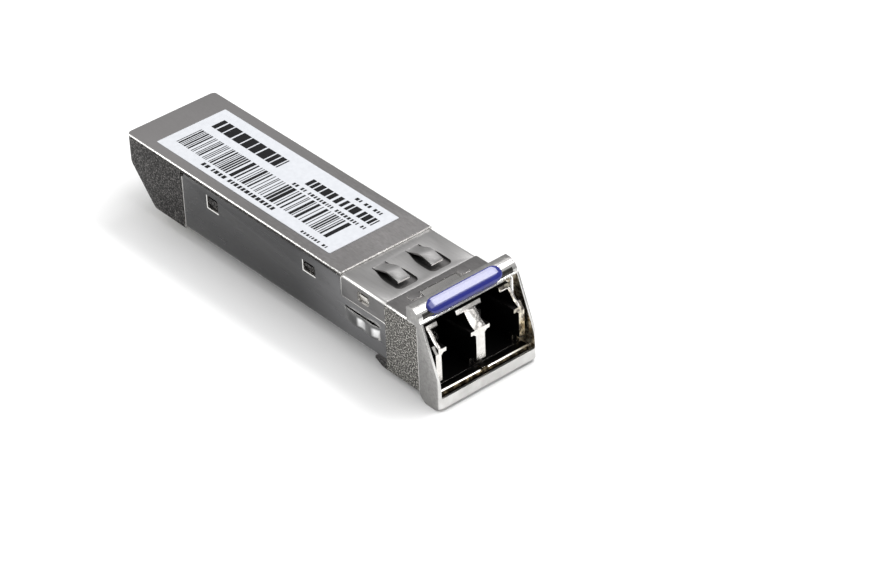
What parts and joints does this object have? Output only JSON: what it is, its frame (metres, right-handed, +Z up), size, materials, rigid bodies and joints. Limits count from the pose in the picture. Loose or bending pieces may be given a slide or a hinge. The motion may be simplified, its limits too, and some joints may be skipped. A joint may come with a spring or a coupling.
{
  "type": "optical transceiver module",
  "caption": "Small pluggable optical transceiver with a duplex LC receptacle, spring-fingered collar, card edge at the rear and a bail that swings down to push the release slider.",
  "frame": {"origin": "centre of the bounding box in x and y, at its lowest z: the underside of the bail arms", "axes": "+X towards the receptacle and bail end, +Z up through the label deck, +Y to the left seen from the rear"},
  "size_m": [0.0564, 0.0142, 0.0124],
  "materials": {
    "cast_metal": "nickel-plated zinc die casting, brushed deck and rough sides",
    "cover_sheet": "smooth formed sheet",
    "collar_sheet": "satin formed sheet",
    "label_film": "printed white film",
    "nickel_casting": "bright nickel plate",
    "bright_steel": "turned or rolled stainless steel",
    "ceramic": "fired ceramic",
    "gold_plate": "gold plate",
    "polyimide": "amber film",
    "laminate": "green solder mask on glass laminate",
    "epoxy": "moulded epoxy",
    "ferrite": "sintered ferrite",
    "gap_pad": "soft silicone",
    "bail_nickel": "bright nickel-plated sheet steel",
    "blue_grip": "glossy moulded plastic"
  },
  "bodies": {
    "module_body": {"die_cast_housing": "cast_metal", "bottom_cover": "cover_sheet", "emi_collar": "collar_sheet", "label": "label_film", "lc_receptacle": "nickel_casting", "transmitter_barrel": "bright_steel", "transmitter_ferrule_sleeve": "ceramic", "transmitter_can": "gold_plate", "transmitter_flex_circuit": "polyimide", "receiver_barrel": "bright_steel", "receiver_ferrule_sleeve": "ceramic", "receiver_can": "bright_steel", "receiver_flex_circuit": "polyimide", "optics_retainer": "bright_steel", "circuit_board": "laminate", "edge_contacts_top": "gold_plate", "edge_contacts_bottom": "gold_plate", "laser_driver_chip": "epoxy", "limiting_amplifier_chip": "epoxy", "controller_chip": "epoxy", "memory_chip": "epoxy", "transmit_supply_inductor": "ferrite", "receive_supply_inductor": "ferrite", "transmit_supply_capacitor": "ceramic", "receive_supply_capacitor": "ceramic", "supply_filter_capacitor": "ceramic", "thermal_pad": "gap_pad", "slider_return_spring": "bright_steel", "bail_pivot_pin_right": "bright_steel", "bail_pivot_pin_left": "bright_steel", "bail_detent_spring": "bright_steel"},
    "bail": {"bail_frame": "bail_nickel", "bail_grip": "blue_grip"},
    "slider": {"release_slider": "bright_steel"}
  },
  "joints": [
    {"name": "bail_swing", "type": "hinge", "parent": "module_body", "child": "bail", "pos_m": [0.0271, 0, 0.0016], "axis": [0, 1, 0], "range_deg": [0, 90]},
    {"name": "slider_push", "type": "slide", "parent": "module_body", "child": "slider", "axis": [-1, 0, 0], "range_m": [0, 0.0019], "deforming": ["slider_return_spring"]}
  ],
  "couplings": [
    {"joint": "bail_swing", "follows": "slider_push", "rad_per_m": 826.73}
  ]
}
